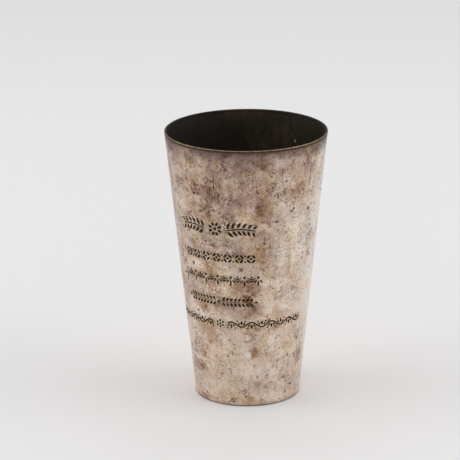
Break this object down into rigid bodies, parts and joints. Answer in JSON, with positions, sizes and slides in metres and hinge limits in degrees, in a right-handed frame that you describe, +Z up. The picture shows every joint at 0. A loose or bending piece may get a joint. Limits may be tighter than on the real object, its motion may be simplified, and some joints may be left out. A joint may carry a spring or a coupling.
{
  "type": "tapered trophy cup",
  "caption": "Plain tapered nickel silver trophy beaker with a rolled cone wall, a round topped lip wire, a flat base disc and a flat foot ring, open at the top.",
  "frame": {"origin": "centre of the foot ring's underside, on the table that the cup stands on", "axes": "+Z up along the cup's axis to the mouth, -Y the front, +Y the brazed side seam"},
  "size_m": [0.0832, 0.0832, 0.14],
  "materials": {
    "tarnished_silver_plate": "mottled tarnish over worn silver plate",
    "worn_nickel_silver": "satin, plate rubbed through",
    "tarnished_solder": "dull brown",
    "blackened_silver_plate": "black brown tarnish, half gloss"
  },
  "bodies": {
    "root": {"body_wall": "tarnished_silver_plate", "side_seam": "tarnished_solder", "mouth_wire": "worn_nickel_silver", "mouth_solder": "tarnished_solder", "base_disc": "blackened_silver_plate", "base_solder": "tarnished_solder", "foot_ring": "worn_nickel_silver", "foot_solder": "tarnished_solder"}
  },
  "joints": []
}
